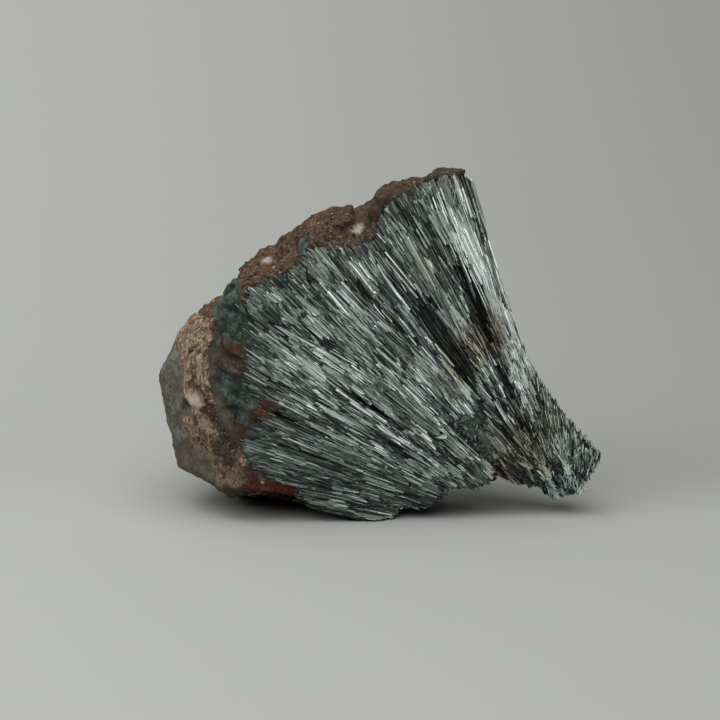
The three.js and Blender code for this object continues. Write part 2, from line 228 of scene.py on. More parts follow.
class Finish:
    """A node material whose nodes are made by expressions."""

    def __init__(self, name):
        self.material = bpy.data.materials.new(name)
        self.material.use_nodes = True
        self.tree = self.material.node_tree
        self.shader = self.tree.nodes["Principled BSDF"]
        self.place = self.node("ShaderNodeTexCoord", output="Object")

    def node(self, kind, settings=None, inputs=(), output=0):
        """A new node, with its settings set first, and then the values or links of its sockets."""
        made = self.tree.nodes.new(kind)
        for key, value in (settings or {}).items():
            if key == "stops":
                self.set_stops(made.color_ramp, value)
            else:
                setattr(made, key, value)
        pairs = inputs.items() if isinstance(inputs, dict) else enumerate(inputs)
        for key, value in pairs:
            self.feed(made.inputs[key], value)
        return Value(self, made.outputs[output])

    @staticmethod
    def set_stops(ramp, stops):
        """Gives a ramp its stops; each is (position, colour)."""
        while len(ramp.elements) < len(stops):
            ramp.elements.new(0.5)
        for element, (position, colour) in zip(ramp.elements, stops):
            element.position = position
            element.color = (*colour, 1)

    def feed(self, socket, value):
        """Links a socket to a value, or sets it to a number, a vector or a colour."""
        if isinstance(value, Value):
            self.tree.links.new(value.socket, socket)
        elif isinstance(value, tuple) and len(value) == 3 and socket.type == "RGBA":
            socket.default_value = (*value, 1)
        else:
            socket.default_value = value

    def vector(self, operation, *vectors, scale=None, output=0):
        inputs = dict(enumerate(vectors))
        if scale is not None:
            inputs["Scale"] = scale
        return self.node("ShaderNodeVectorMath", {"operation": operation}, inputs, output)

    def axis(self, letter):
        return self.node("ShaderNodeSeparateXYZ", None, {0: self.place}, letter)

    def attribute(self, name):
        return self.node("ShaderNodeAttribute", {"attribute_name": name}, output="Fac")

    def blend(self, share, first, second):
        """The first colour where share is 0 and the second where it is 1."""
        return self.node("ShaderNodeMix", {"data_type": "RGBA"}, {0: share, 6: first, 7: second}, 2)

    def noise(self, place, scale, detail, roughness):
        inputs = {"Vector": place, "Scale": scale, "Detail": detail, "Roughness": roughness}
        return self.node("ShaderNodeTexNoise", None, inputs, "Fac")

    def cells(self, place, scale):
        return self.node("ShaderNodeTexVoronoi", None, {"Vector": place, "Scale": scale}, "Distance")

    def ramp(self, value, *stops):
        """Colours over a value: each stop is (position, colour)."""
        return self.node("ShaderNodeValToRGB", {"stops": stops}, (value,))

    def blob(self, centre, size, ragged, soft):
        """1 inside a ragged patch around a point in millimetres, 0 outside it."""
        away = self.vector("SUBTRACT", self.place, tuple(c * MM for c in centre))
        distance = self.vector("LENGTH", away, output="Value")
        return (distance / (size * MM) + ragged).between(1 + soft, 1 - soft)

    def bump(self, height, strength, distance):
        inputs = {"Height": height, "Strength": strength, "Distance": distance * MM}
        return self.node("ShaderNodeBump", None, inputs)

    def clear_from_behind(self):
        """Makes the material see-through where its back faces the camera."""
        behind = self.node("ShaderNodeNewGeometry", output="Backfacing")
        clear = self.node("ShaderNodeBsdfTransparent")
        front = Value(self, self.shader.outputs[0])
        either = self.node("ShaderNodeMixShader", None, (behind, front, clear))
        self.feed(self.tree.nodes["Material Output"].inputs["Surface"], either)

    def set(self, **values):
        for name, value in values.items():
            self.feed(self.shader.inputs[name.replace("_", " ")], value)
        return self.material


# ---- finishes ----

# Colours, as linear red, green and blue.
# GAP_DARK is near-black, partly painted shade in the gaps between the needles.
GAP_DARK = (0.010, 0.015, 0.012)
GAP_PALE = (0.055, 0.072, 0.056)
STEEL_DARK = (0.022, 0.032, 0.026)
STEEL = (0.235, 0.285, 0.253)
STEEL_PALE = (0.69, 0.745, 0.715)
OLIVE_DARK = (0.016, 0.015, 0.008)
OLIVE = (0.105, 0.100, 0.052)
OLIVE_PALE = (0.55, 0.56, 0.43)
MASSIVE = (0.029, 0.043, 0.037)
MASSIVE_PALE = (0.122, 0.153, 0.132)
GREEN_DARK = (0.014, 0.028, 0.023)
GREEN = (0.175, 0.250, 0.215)
GREEN_PALE = (0.65, 0.785, 0.73)
RUST_DARK = (0.012, 0.006, 0.004)
RUST = (0.085, 0.045, 0.020)
RUST_PALE = (0.25, 0.21, 0.145)
RIND_DARK = (0.034, 0.017, 0.010)
RIND_BROWN = (0.128, 0.091, 0.060)
RIND_TAN = (0.55, 0.40, 0.28)
RIND_UMBER = (0.060, 0.049, 0.036)
RIND_ORANGE = (0.150, 0.078, 0.038)
RIND_STREAK = (0.13, 0.058, 0.032)
RIND_RED = (0.066, 0.009, 0.004)
CREAM = (0.66, 0.62, 0.54)
FACET = (0.215, 0.223, 0.190)
FACET_DARK = (0.070, 0.082, 0.070)
STAIN = (0.085, 0.040, 0.020)
OCHRE = (0.20, 0.125, 0.062)
# Ramps of the needles, from dark gaps to bright faces; None is the colour in the settings.
NEEDLE_RAMPS = {
    "steel": ((0.12, STEEL_DARK), (0.5, None), (0.92, STEEL_PALE)),
    "green": ((0.12, GREEN_DARK), (0.5, GREEN), (0.92, GREEN_PALE)),
    "mossy": ((0.1, OLIVE_DARK), (0.5, OLIVE), (0.95, OLIVE_PALE)),
    "rusty": ((0.1, RUST_DARK), (0.55, RUST), (1.0, RUST_PALE)),
}
# Films on the needles: ramp, centre and size in millimetres, raggedness of the edge, and strength.
FILMS = {
    "green tip": ("green", (33, -15, 5), 10, 2.6, 0.7),
    "olive wedge": ("mossy", (29, -14, 13), 6.5, 2.6, 0.85),
    "olive streak": ("mossy", (15.5, -14, 31), 4.5, 2.6, 0.8),
    "olive fleck": ("mossy", (9.9, -11.6, 50.3), 4.0, 2.6, 0.5),
    "rusty crevice": ("rusty", (20.5, -10, 36), 4.5, 2.6, 0.75),
    "rusty hem": ("rusty", (24.5, -16, 7.5), 4.0, 2.2, 0.8),
}
# Patches of other colours on the stone: centre and size, in millimetres.
BROWN_STAINS = [((-28.5, -22.7, 33.7), 3.2), ((-21.5, -22.6, 23.5), 2.2), ((-24, -22.6, 20.5), 2.4),
                ((-27, -22, 19), 2.0)]
CREAM_SPOTS = [((-36.4, -19.3, 24.3), 1.7), ((-22.1, -11.4, 50.3), 1.0), ((-4.4, -10.7, 56.9), 1.2)]
RED_STAIN = ((-18, -19, 4.5), 8.5)
BROWN_FACET = ((-38, -13, 8), 7)
# Scales of the patterns, in features a metre; where there are two, the first is in features a
# radian and counts only across the needles.
STREAKS = (260.0, 60.0)
FLECKS = (230.0, 430.0)
FILM_EDGES = 220.0
PATCHES = 160.0
BLOTCHES = 330.0
GRAINS = 900.0
SPECKLES = 2400.0
PORES = 1700.0
CRUMB_GRAINS = 1400.0


def along_needles(finish, fine, coarse):
    """Coordinates that follow the needles, with a scale across them and one that counts both ways."""
    ray = finish.vector("SUBTRACT", finish.place, tuple(APEX * MM))
    direction = finish.vector("NORMALIZE", ray)
    across = finish.vector("SCALE", direction, scale=fine)
    return finish.vector("ADD", across, finish.vector("SCALE", ray, scale=coarse))


def needle_finish(name, steel, brown):
    """Steel-grey crystal: bright flat faces, fine striations, olive and rust films in places."""
    f = Finish(name)
    streak = f.noise(along_needles(f, *STREAKS), 1.0, 3.0, 0.6)
    fleck = f.noise(along_needles(f, *FLECKS), 1.0, 2.0, 0.55)
    ragged = f.noise(f.place, FILM_EDGES, 3.0, 0.6) - 0.5
    level = (f.attribute("tone") * 1.30 + streak * 0.8 + fleck * 1.15 - 1.19).clamped()
    ramps = {key: f.ramp(level, *((position, colour or steel) for position, colour in stops))
             for key, stops in NEEDLE_RAMPS.items()}
    colour = ramps["steel"]
    shares = {}
    for film, (ramp, centre, size, edge, strength) in FILMS.items():
        shares[film] = f.blob(centre, size, ragged * edge, 0.45) * strength
        colour = f.blend(shares[film], colour, ramps[ramp])
    olive = shares["olive wedge"]
    stained = (1.0 - (f.attribute("rim") + ragged * 1.6).between(0.0, 0.5)) * 0.25
    colour = f.blend(stained, colour, brown)
    rough = (0.50 - level * 0.12 + stained * 0.3 + olive * 0.15).clamped()
    metal = (0.45 - stained * 0.4 - olive * 0.3).clamped()
    return f.set(Base_Color=colour, Roughness=rough, Metallic=metal, Normal=f.bump(streak, 0.6, 0.12))


class StoneFinish(Finish):
    """The patterns of the stone under the needles, and the colours of its regions."""

    def __init__(self, name, brown):
        super().__init__(name)
        self.brown = brown
        self.grain = self.noise(self.place, GRAINS, 4.0, 0.65)
        self.speckle = self.noise(self.place, SPECKLES, 2.0, 0.6)
        self.blotch = self.noise(self.place, BLOTCHES, 4.0, 0.7)
        self.patch = self.noise(self.place, PATCHES, 3.0, 0.6)
        self.ragged = self.patch - 0.5
        self.streak = self.noise(along_needles(self, *STREAKS), 1.0, 3.0, 0.6)
        upright = self.vector("MULTIPLY", self.place, (1.0, 1.0, 0.18))
        self.holes = self.cells(upright, PORES)
        self.drips = self.noise(upright, PORES, 3.0, 0.6)
        # The low left of the rind is dusty and streaked.
        sway = self.ragged * 0.09
        left = (sway - self.axis("X")).between(0.020, 0.034)
        self.dusty = left * (1.0 - (self.axis("Z") + sway).between(0.034, 0.050))

    def gap_colour(self):
        """Dark gaps between the needles: near-black stone, partly its own colour and partly painted shade.
        """
        return self.blend(self.streak.between(0.42, 0.7), GAP_DARK, GAP_PALE)

    def massive_colour(self):
        """Mottled stone with brown stains, dusted with brown along the rind."""
        mottle = self.blotch * 0.65 + self.streak * 0.2 + self.grain * 0.15
        colour = self.blend(mottle.between(0.43, 0.58), MASSIVE, MASSIVE_PALE)
        edge = self.ragged * 2.0 + (self.grain - 0.5)
        for centre, size in BROWN_STAINS:
            colour = self.blend(self.blob(centre, size, edge, 0.6) * 0.85, colour, STAIN)
        inside = self.attribute("rim") + self.ragged * 7.0 + (self.grain - 0.5) * 4.0
        return self.blend((1.0 - inside.between(-0.5, 3.5)) * 0.7, colour, self.brown)

    def crust_colour(self):
        """Grainy brown crust with orange patches, dark pores and drips, umber away from the left, and umber
        low down as painted shade.
        """
        dusty, drips = self.dusty, self.drips
        coarse = (self.grain - 0.5) * 1.35 + (self.speckle - 0.5) * 1.5
        level = coarse * (0.7 + dusty * 0.3) + self.blotch * 0.6 + 0.07
        level = (level + dusty * (drips * 1.4 - 0.28)).clamped()
        crust = self.ramp(level, (0.18, RIND_DARK), (0.45, self.brown), (1.0, RIND_TAN))
        rightwards = (self.axis("X") + self.ragged * 0.03).between(-0.020, 0.016)
        # Painted shade: the rind turns umber low down.
        clear_of_low_shade = (self.axis("Z") + self.ragged * 0.03).between(0.006, 0.022)
        centre, size = RED_STAIN
        red = self.blob(centre, size, self.ragged + (self.blotch - 0.5) * 1.2, 0.4)
        layers = (
            (self.patch.between(0.46, 0.64) * (0.65 - dusty * 0.45), RIND_ORANGE),
            ((1.0 - self.holes.between(0.08, 0.38)) * (0.45 - dusty * 0.3), RIND_DARK),
            (drips.between(0.54, 0.68) * (0.25 - dusty * 0.15), RIND_DARK),
            ((1.0 - drips.between(0.36, 0.50)) * dusty * 0.6, RIND_STREAK),
            (rightwards * 0.7, RIND_UMBER),
            ((1.0 - clear_of_low_shade) * 0.6, RIND_UMBER),
            (red * 0.92, RIND_RED),
        )
        for share, colour in layers:
            crust = self.blend(share, crust, colour)
        edge = (self.speckle - 0.5) * 1.6 + self.ragged
        for centre, size in CREAM_SPOTS:
            crust = self.blend(self.blob(centre, size, edge, 0.6) * 0.75, crust, CREAM)
        return crust

    def facet_colour(self, exposed):
        """Grey-green broken faces, brown in patches and ochre along their edges."""
        mottle = self.blotch * 0.6 + self.grain * 0.4
        colour = self.blend(mottle.between(0.42, 0.58), FACET_DARK, FACET)
        colour = self.blend(self.patch.between(0.5, 0.64) * 0.6, colour, self.brown)
        centre, size = BROWN_FACET
        colour = self.blend(self.blob(centre, size, self.ragged * 2.0, 0.4) * 0.45, colour, self.brown)
        return self.blend((1.0 - exposed.between(0.75, 1.0)) * 0.6, colour, OCHRE)

    def relief(self, rind):
        """Height for the bump: grainy on the rind, soft elsewhere."""
        height = (self.grain * 0.6 + self.speckle * 0.7) * (rind * 0.6 + 0.4)
        return height + self.holes * 0.4 + self.blotch * 0.8 - self.drips * self.dusty * 1.2


def stone_finish(name, brown):
    """The stone under the needles: dark gaps, the massive zone, the rind and its stains."""
    f = StoneFinish(name, brown)
    massive = f.attribute("massive").between(0.2, 0.7)
    colour = f.blend(massive, f.gap_colour(), f.massive_colour())
    exposed = f.attribute("facet") + (f.blotch - 0.5) * 1.8
    crust = f.blend(exposed.between(0.4, 0.7) * 0.92, f.crust_colour(), f.facet_colour(exposed))
    rind = (f.attribute("rind") + f.ragged * 0.5 + (f.blotch - 0.5) * 1.0).between(0.35, 0.65)
    colour = f.blend(rind, colour, crust)
    rough = (0.5 + rind * 0.4 + f.grain * 0.1).clamped()
    metal = ((1.0 - rind) * 0.45).clamped()
    normal = f.bump(f.relief(rind), 0.9, 0.5)
    return f.set(Base_Color=colour, Roughness=rough, Metallic=metal, Specular_IOR_Level=0.15, Normal=normal)


def crumb_finish(name, brown):
    """Crumbs of the rind: matt brown, every one of its own tone."""
    f = Finish(name)
    grain = f.noise(f.place, CRUMB_GRAINS, 3.0, 0.6)
    level = (f.attribute("tone") * 0.75 + grain * 0.3).clamped()
    crust = f.ramp(level, (0.15, RIND_DARK), (0.5, brown), (1.0, RIND_TAN))
    normal = f.bump(grain, 0.6, 0.2)
    return f.set(Base_Color=crust, Roughness=0.9, Specular_IOR_Level=0.12, Normal=normal)


def backdrop_finish(name, floor):
    """Matt paint with painted shade: a little darker to the right and to the back."""
    f = Finish(name)
    side = f.axis("X").between(-0.16, 0.16)
    back = f.axis("Y").between(-0.03, 0.03)
    shade = 1.0 - side * 0.15 - back * 0.06 - side * back * 0.08
    colour = f.blend(shade.clamped(), (0.0, 0.0, 0.0), tuple(floor))
    f.clear_from_behind()
    return f.set(Base_Color=colour, Roughness=0.9, Specular_IOR_Level=0.0)


# ---- meshes ----

def select_only(piece):
    bpy.ops.object.select_all(action="DESELECT")
    piece.select_set(True)
    bpy.context.view_layer.objects.active = piece


def corners(mesh):
    """Places of the corners, in millimetres."""
    co = np.empty(len(mesh.vertices) * 3)
    mesh.vertices.foreach_get("co", co)
    return co.reshape(-1, 3) / MM


def move_corners(mesh, co):
    mesh.vertices.foreach_set("co", (co * MM).ravel())
    mesh.update()


def triangles(mesh):
    """The corners of every triangle."""
    mesh.calc_loop_triangles()
    index = np.empty(len(mesh.loop_triangles) * 3, dtype=np.int64)
    mesh.loop_triangles.foreach_get("vertices", index)
    return index.reshape(-1, 3)


def averaged(mesh, values, passes):
    """Numbers at the corners, averaged with those of their neighbours a number of times."""
    edges = np.empty(len(mesh.edges) * 2, dtype=np.int64)
    mesh.edges.foreach_get("vertices", edges)
    a, b = edges.reshape(-1, 2).T
    count = len(values)
    around = 1 + np.bincount(a, minlength=count) + np.bincount(b, minlength=count)
    for _ in range(passes):
        total = np.bincount(a, values[b], count) + np.bincount(b, values[a], count)
        values = (values + total) / around
    return values


def vertex_normals(mesh, passes):
    """Unit normals at the corners, averaged with their neighbours a number of times."""
    normal = np.empty(len(mesh.vertices) * 3)
    mesh.vertices.foreach_get("normal", normal)
    columns = [averaged(mesh, column, passes) for column in normal.reshape(-1, 3).T]
    return unit(np.stack(columns, axis=1))


def add_attribute(mesh, name, values):
    attribute = mesh.attributes.new(name, "FLOAT", "POINT")
    attribute.data.foreach_set("value", np.asarray(values, dtype=np.float32))


def model_needle():
    """One needle crystal, modelled a unit long and wide: a four-sided prism."""
    bpy.ops.object.select_all(action="DESELECT")
    bpy.ops.mesh.primitive_cube_add(size=1.0, location=(0, 0, 0.5))
    needle = bpy.context.object
    bpy.ops.object.transform_apply(location=True, rotation=True, scale=True)
    return needle


def model_crumb():
    """One crumb of the rind: a small knobbly ball."""
    bpy.ops.object.select_all(action="DESELECT")
    bpy.ops.mesh.primitive_ico_sphere_add(subdivisions=1, radius=0.5)
    return bpy.context.object


def copies_of(model, name, frames, origins, offsets, **attributes):
    """One mesh of many copies of a model, each with its own axes and place; the model is removed."""
    base = np.array([v.co for v in model.data.vertices])
    faces = [tuple(p.vertices) for p in model.data.polygons]
    bpy.data.objects.remove(model)
    count, per = len(origins), len(base)
    local = base[None, :, :] + offsets
    co = np.einsum("nvi,nij->nvj", local, frames) + origins[:, None, :]
    mesh = bpy.data.meshes.new(name)
    all_faces = [tuple(v + n * per for v in face) for n in range(count) for face in faces]
    mesh.from_pydata((co.reshape(-1, 3) * MM).tolist(), [], all_faces)
    for key, values in attributes.items():
        add_attribute(mesh, key, np.repeat(values, per))
    piece = bpy.data.objects.new(name, mesh)
    bpy.context.scene.collection.objects.link(piece)
    return piece


# ---- the stone ----

# Radius at which the front face ends and the rind begins, over lift.
FRONT_RIM = [(11.5, 55), (12.3, 56.5), (13.2, 58.5), (14.2, 66), (18, 70.5), (22, 77), (28, 82.5),
             (33, 86.3), (36, 87), (39, 85.8), (43.5, 81), (48, 80.4), (50, 79), (53, 74.6), (57, 73.8),
             (58.6, 77), (60, 78.5), (67, 79), (71, 77.8), (74, 78.8)]
# Turn at which the front begins to end, and at which it has ended.
FRONT_EDGE = (7, 11)
# Hollows where bundles have fallen out of the front: lift, half width in degrees, and radii. The last one
# hollows and darkens the top right corner, as painted shade of a face turned from the light.
TROUGHS = [(56.7, 1.8, 33, 72), (67.3, 2.1, 40, 64), (58, 3.2, 24, 38), (25.6, 0.8, 50, 73),
           (51.5, 1.0, 46, 66), (40.0, 1.3, 48, 55), (30.5, 0.8, 34, 52), (35.5, 0.7, 40, 62),
           (72.4, 0.8, 67, 86)]
TROUGH_DEPTH = 1.8
# Blades that lie bare on the front: lift, radii, width, strips that each is split into, and tone; the pale
# tone of the two highest blades is partly their own and partly painted highlight.
BLADES = [(69.4, 60, 77, 2.0, 8, 0.80), (71.7, 48, 58, 1.6, 6, 0.80), (40.3, 37.5, 50.5, 1.9, 3, 0.40),
          (42.2, 37, 50, 0.9, 4, 0.72), (60.6, 24, 34, 0.8, 3, 0.75), (63.8, 33, 41, 1.1, 4, 0.72),
          (61.2, 60, 71, 1.2, 3, 0.7)]
# Blades darker than this have no needles over them, and those of more strips than this lie loosely.
DARK_BLADE = 0.5
FIRM_STRIPS = 3
# A needle-free lump of massive stone in the front: lift, half width in degrees, and radii.
CLOD = (47.4, 3.8, 23, 37.5)
CLOD_EDGE = 3
# How much lighter or darker than the usual the needles of the front are, over lift; darker low down, and
# paler at the highest lifts as a painted highlight.
FRONT_TONE = [(20, -0.195), (26, -0.16), (29.5, 0.0), (67.6, 0.0), (69.2, 0.22), (71, 0.38), (75, 0.44)]
# Bundles lighter or darker than their neighbours: lift, half width in degrees, radii, and how much. The
# last row darkens the face at the top right corner as painted shade.
BUNDLES = [(24.4, 1.0, 34, 62, 0.16), (29.3, 1.3, 36, 58, -0.14), (34.6, 1.3, 38, 60, 0.20),
           (37.4, 1.5, 50, 78, -0.18), (38.8, 2.8, 14, 42, 0.19), (42.7, 0.9, 50, 70, 0.18),
           (44.2, 1.1, 24, 52, -0.20), (49.7, 1.7, 52, 78, -0.20), (51.2, 2.2, 24, 46, -0.15),
           (55.1, 1.1, 28, 74, -0.16), (58.3, 0.8, 22, 38, 0.25), (61.4, 1.2, 26, 44, -0.14),
           (61.5, 2.0, 50, 76, 0.17), (62.9, 1.1, 34, 56, 0.12), (64.8, 0.9, 44, 64, -0.14),
           (70.7, 0.7, 54, 70, -0.25), (27.0, 3.2, 12, 34, -0.18), (64.2, 1.5, 12, 28, -0.24),
           (72.8, 1.2, 66, 94, -0.50)]
# How far the massive, needle-free stone reaches inwards from the rind, in millimetres, over lift.
MASSIVE_DEPTH = [(8, 1), (17, 1), (19, 3), (21, 9), (24, 14), (26.5, 15), (28, 13), (32.5, 13), (35.3, 9),
                 (37.5, 4), (41, 2), (47, 1.2), (52, 0.5), (55, 0.1), (75, 0)]
# Places at the front edge where the rind is missing: centre and half sizes, in millimetres.
RIND_BREAKS = [((-30.2, -17.5, 44.0), (4.1, 8.5, 5.5)), ((-14.8, -15.0, 54.2), (1.6, 3.5, 2.2))]
# How far the needles of the front lean from the ray through the apex, as a slope, over lift.
FRONT_LEAN = [(14, 0.0), (26, -0.03), (32, -0.10), (38, -0.08), (44, -0.02), (50, 0.03), (56, 0.15),
              (62, 0.17), (68, 0.12), (74, 0.04)]
# Length of the needles of the front, as a share of the usual, over lift: far from the apex and close.
FAR_LENGTH = [(12, 1.0), (24, 1.0), (30, 0.75), (34, 0.5), (42, 0.5), (47, 0.75), (54, 1.0), (75, 1.1)]
CLOSE_LENGTH = [(12, 0.9), (30, 0.8), (45, 0.7), (58, 0.9), (63, 0.5), (75, 0.5)]
# Corners of the solid that are closer than this are one corner, in metres.
MERGE = 1e-6
# How the stone's surface is averaged: passes over its normals, and over the rind away from the front.
NORMAL_PASSES = 6
RIND_PASSES = 60


def cracks(direction, radius):
    """1 along the dark crevices between bundles of needles, 0 on the bundles."""
    line = noise(direction * 30 + radius[:, None] / 26)
    here = smoothstep(noise(direction * 14 + radius[:, None] / 9 + 31), -0.45, 0.15)
    return bell(line / 0.16) * here


def ledges(direction, radius):
    """Height of the bundles, from -1 to 1: wide steps across the needles, shorter ones along them."""
    wide = noise(direction * 17 + radius[:, None] / 13 + 11)
    close = noise(direction * 38 + radius[:, None] / 7 + 23)
    return 0.6 * wide + 0.5 * close


def patch_of(lift, radius, middle, width, start, end, edge=8):
    """1 in a patch of the front that runs along the needles, 0 outside it."""
    inside = smoothstep(radius, start, start + edge) * (1 - smoothstep(radius, end - edge, end))
    return bell((lift - middle) / width) * inside


def trough(lift, radius):
    """1 in the hollows of the front face, 0 outside them."""
    return np.max([patch_of(lift, radius, *row) for row in TROUGHS], axis=0)


def bare(lift, radius):
    """True where a dark blade or the needle-free lump lies in the front."""
    under = [(abs(np.radians(lift - middle)) * radius < 0.5 * width) & (radius > start) & (radius < end)
             for middle, start, end, width, _, tone in BLADES if tone < DARK_BLADE]
    return np.any(under, axis=0) | (patch_of(lift, radius, *CLOD, edge=CLOD_EDGE) > 0.45)


class Stone:
    """What the pieces share: the outline from the apex and the stone's smooth surface."""

    outline = None
    points = normals = faces = region = None

    @classmethod
    def over_faces(cls, values):
        """Values at the corners, averaged over every face."""
        return values[cls.faces].mean(axis=1)


class Surface:
    """Points of the stone's surface in fan coordinates, and the regions that they lie in."""

    def __init__(self, points, normals):
        self.points, self.normals = points, normals
        self.radius = np.linalg.norm(points - APEX, axis=1)
        self.direction = unit(points - APEX)
        self.facing = np.sum(normals * self.direction, axis=1)
        self.lift, self.turn, _ = fan_of(points - 1.2 * normals)
        self.front = 1 - smoothstep(self.turn, *FRONT_EDGE)
        self.gap = self.gap_to_rim()
        self.wobble = 2.2 * noise(points / 3.5) + 1.2 * noise(points / 1.3 + 7)

    def gap_to_rim(self):
        """How far inside the end of the needles each point lies, in millimetres."""
        inwards = unit(self.normals - 0.5 * self.facing[:, None] * self.direction)
        deep_lift, deep_turn, _ = fan_of(self.points - 3.5 * inwards)
        outline = Stone.outline
        here = outline.at(outline.far, self.lift, self.turn)
        deep = outline.at(outline.far, deep_lift, deep_turn) - 1.8
        gap = np.maximum(here, deep) - self.radius
        return mix(gap, along(FRONT_RIM, self.lift) - self.radius, self.front)

    def rind(self):
        """The outer crust, a narrow band of it around the fan, and its hem under the stone."""
        crust_depth = mix(0.8, 0.1, self.front) + 0.6 * noise(self.points / 2.0 + 3)
        outer = smoothstep(self.facing, 0.3, 0.55) * (1 - smoothstep(self.gap, 2.2, 3.4))
        band = 1 - smoothstep(self.gap - crust_depth, -0.3, 0.4)
        top = 11.5 + 3.5 * smoothstep(-self.normals[:, 2], 0.2, 0.6)
        under = 1 - smoothstep(self.lift + 0.8 * noise(self.points / 3) - top, -0.5, 0.5)
        hem = under * np.maximum(1 - smoothstep(self.turn, 4, 7), smoothstep(self.radius, 62, 66))
        return np.maximum(np.maximum(outer, band), hem) * smoothstep(self.radius, 54, 57)

    def massive(self):
        """Needle-free stone along the rind, and the lump of it in the front."""
        wobble = self.wobble
        massive = 1 - smoothstep(self.gap + wobble - along(MASSIVE_DEPTH, self.lift), -1.0, 1.0)
        clod = patch_of(self.lift + 0.7 * wobble, self.radius + wobble, *CLOD, edge=CLOD_EDGE)
        return np.maximum(massive, smoothstep(-self.normals[:, 1], 0.1, 0.4) * smoothstep(clod, 0.3, 0.5))

    def facet(self):
        """The smooth broken faces at the low left."""
        lift, turn = self.lift, self.turn
        sway = 2.6 * noise(self.points / 8 + 5) + 1.2 * noise(self.points / 2.5 + 5)
        edge = 0.1 - 1.6 * (1 - smoothstep(lift, 14.5, 17))
        facet = smoothstep(turn + 0.5 * sway - edge, 0, 0.9) * (1 - smoothstep(turn + 3.5 * sway, 13, 19))
        return facet * smoothstep(lift + 0.9 * sway, 9.5, 12) * (1 - smoothstep(lift + 1.0 * sway, 27, 31))

    def regions(self):
        """Masks from 0 to 1 over the points, with their fan coordinates."""
        rind, massive, gap = self.rind(), self.massive(), self.gap
        for centre, size in RIND_BREAKS:
            away = np.linalg.norm((self.points - centre) / size, axis=1) + 0.13 * self.wobble
            rind = rind * smoothstep(away, 0.8, 1.15)
            massive = np.maximum(massive, 1 - smoothstep(away, 1, 1.4))
            gap = gap + 6 * (1 - smoothstep(away, 0.8, 1.15))
        return {"rind": rind, "massive": massive, "facet": self.facet(), "gap": gap, "facing": self.facing,
                "front": self.front, "lift": self.lift, "radius": self.radius,
                "direction": self.direction}


def remeshed(node, name, voxel):
    """A copy of a node with fine, even faces."""
    body = bpy.data.objects.new(name, node.data.copy())
    bpy.context.scene.collection.objects.link(body)
    select_only(body)
    bpy.ops.object.mode_set(mode="EDIT")
    bpy.ops.mesh.select_all(action="SELECT")
    bpy.ops.mesh.remove_doubles(threshold=MERGE)
    bpy.ops.object.mode_set(mode="OBJECT")
    remesh = body.modifiers.new("Remesh", "REMESH")
    remesh.mode = "VOXEL"
    remesh.voxel_size = voxel
    bpy.ops.object.modifier_apply(modifier=remesh.name)
    return body


def fibre_relief(region, normal):
    """Grooves, ledges, crevices and hollows of the fibrous faces, in millimetres."""
    direction, radius = region["direction"], region["radius"]
    relief = 0.28 * noise(direction * 80 + radius[:, None] / 12)
    relief += 0.16 * noise(direction * 150 + radius[:, None] / 8 + 5)
    relief += 0.6 * ledges(direction, radius) - 1.2 * cracks(direction, radius)
    front = smoothstep(-normal[:, 1], 0.3, 0.6)
    return relief - TROUGH_DEPTH * front * trough(region["lift"], radius)


def crust_relief(points):
    """Lumps and pits of the rind, in millimetres."""
    lumps = 0.6 * noise(points / 3.2) + 0.42 * noise(points / 1.5 + 9) + 0.26 * noise(points / 0.8 + 4)
    holes = smoothstep(pits(points / (1.4, 1.4, 4.2)), 0.05, 0.40) - 1
    return lumps + 0.2 * holes


def soft_relief(points):
    """Swelling of the massive stone, in millimetres."""
    return 0.35 * noise(points / 4.0) + 0.3 * noise(points / 1.5) + 0.2 * noise(points / 0.8 + 2)


def add_stone(settings, brown):
    """The massive stone, its fibrous faces grooved and its rind lumpy and pitted."""
    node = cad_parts["specimen"]
    Stone.outline = Outline(node)
    body = remeshed(node, "stone", settings.voxel)
    mesh = body.data
    points, normal = corners(mesh), vertex_normals(mesh, NORMAL_PASSES)
    Stone.points, Stone.normals, Stone.faces = points, normal, triangles(mesh)
    Stone.region = region = Surface(points, normal).regions()
    # Away from the front the rind has no holes: averaging closes the small ones.
    closed = smoothstep(averaged(mesh, region["rind"], RIND_PASSES), 0.35, 0.65)
    region["rind"] = rind = mix(closed, region["rind"], region["front"])
    region["facet"] = facet = region["facet"] * rind
    massive = region["massive"]

    swell = soft_relief(points)
    fibrous = (1 - rind) * (1 - massive)
    shift = fibrous * (fibre_relief(region, normal) - settings.sink / MM) + (1 - rind) * massive * swell
    shift += rind * mix(crust_relief(points), 0.7 * swell, facet)
    above_table = smoothstep(points[:, 2], 0.1, 1.2)
    move_corners(mesh, points + normal * (shift * above_table)[:, None])

    for key in ("rind", "massive", "facet"):
        add_attribute(mesh, key, region[key])
    add_attribute(mesh, "rim", region["gap"])
    mesh.polygons.foreach_set("use_smooth", [True] * len(mesh.polygons))
    mesh.materials.clear()
    mesh.materials.append(stone_finish("stone", brown))
    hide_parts("specimen")
    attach(body, "root")


def surface_spots(count, weight, rng):
    """Random spots on the stone: places and normals."""
    a, b, c = (Stone.points[Stone.faces[:, n]] for n in range(3))
    area = np.linalg.norm(np.cross(b - a, c - a), axis=1) * weight
    pick = rng.choice(len(area), count, p=area / area.sum())
    u, v = rng.random(count), rng.random(count)
    flip = u + v > 1
    u, v = np.where(flip, 1 - u, u), np.where(flip, 1 - v, v)
    share = np.stack((1 - u - v, u, v), axis=1)[:, :, None]
    face = Stone.faces[pick]
    return (Stone.points[face] * share).sum(axis=1), unit((Stone.normals[face] * share).sum(axis=1))


# ---- the needles ----

